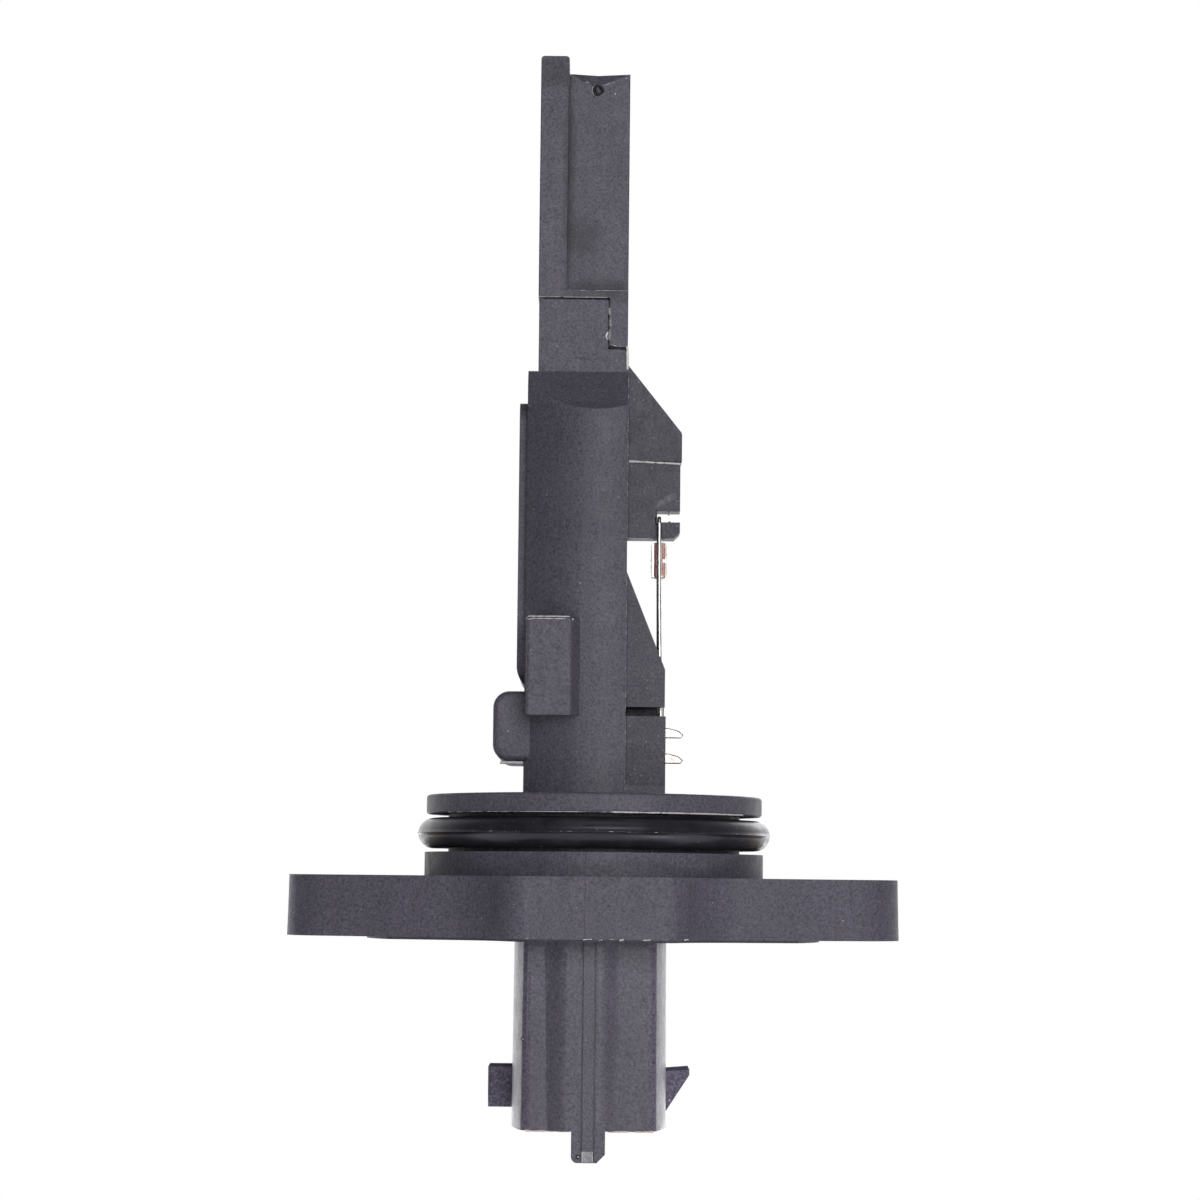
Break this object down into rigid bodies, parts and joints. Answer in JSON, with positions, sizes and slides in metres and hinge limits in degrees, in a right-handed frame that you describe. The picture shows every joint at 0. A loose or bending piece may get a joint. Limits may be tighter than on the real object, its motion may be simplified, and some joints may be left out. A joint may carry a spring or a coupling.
{
  "type": "mass airflow sensor",
  "caption": "Plug-in mass airflow sensor: flanged body with seal, electronics bay, bypass duct with sensing elements, thermistor bead and connector.",
  "frame": {"origin": "on the spigot's axis, in the plane where the flange seats on the air duct", "axes": "+Z along the blade to its tip, +X to the side of the temperature bead, -Y to the blade's rounded nose"},
  "size_m": [0.06, 0.0386, 0.1085],
  "materials": {
    "housing_plastic": "glass-filled moulding with a fine speckle",
    "duct_plastic": "glass-filled moulding with a fine speckle",
    "cover_plastic": "glass-filled moulding with a fine speckle",
    "seal_rubber": "smooth black rubber with a slight gloss",
    "sleeve_brass": "turned",
    "terminal_metal": "tin-plated, satin",
    "lead_post_metal": "tin-plated, satin",
    "prong_metal": "tin-plated, satin",
    "lead_wire": "bright tinned wire",
    "adhesive": "cured white adhesive",
    "plate_aluminium": "satin",
    "board_ceramic": "pale ceramic",
    "chip_plastic": "moulded package",
    "capacitor_ceramic": "sintered ceramic",
    "bond_aluminium": "bright",
    "element_glaze": "glazed",
    "bead_glass": "clear glass",
    "slug_metal": "oxidised copper-coated, orange red under the glass",
    "thermistor_ceramic": "dark sintered ceramic"
  },
  "bodies": {
    "root": {"base_plate": "plate_aluminium", "bypass_duct": "duct_plastic", "chip_capacitors": "capacitor_ceramic", "circuit_board": "board_ceramic", "connector_terminal_1": "terminal_metal", "connector_terminal_2": "terminal_metal", "connector_terminal_3": "terminal_metal", "connector_terminal_4": "terminal_metal", "connector_terminal_5": "terminal_metal", "control_chip": "chip_plastic", "drive_transistor": "chip_plastic", "duct_side_cover": "duct_plastic", "electronics_cover": "cover_plastic", "heating_element": "element_glaze", "hooked_lead": "lead_wire", "joint_adhesive": "adhesive", "lower_lead_post": "lead_post_metal", "main_housing": "housing_plastic", "prong_bond_ribbons": "bond_aluminium", "reference_element": "element_glaze", "screw_sleeve_left": "sleeve_brass", "screw_sleeve_right": "sleeve_brass", "seal_ring": "seal_rubber", "sensing_prong_1": "prong_metal", "sensing_prong_2": "prong_metal", "sensing_prong_3": "prong_metal", "sensing_prong_4": "prong_metal", "straight_lead": "lead_wire", "terminal_bond_ribbons": "bond_aluminium", "thermistor_chip": "thermistor_ceramic", "thermistor_glass": "bead_glass", "thermistor_slug_lower": "slug_metal", "thermistor_slug_upper": "slug_metal", "upper_lead_post": "lead_post_metal"}
  },
  "joints": []
}
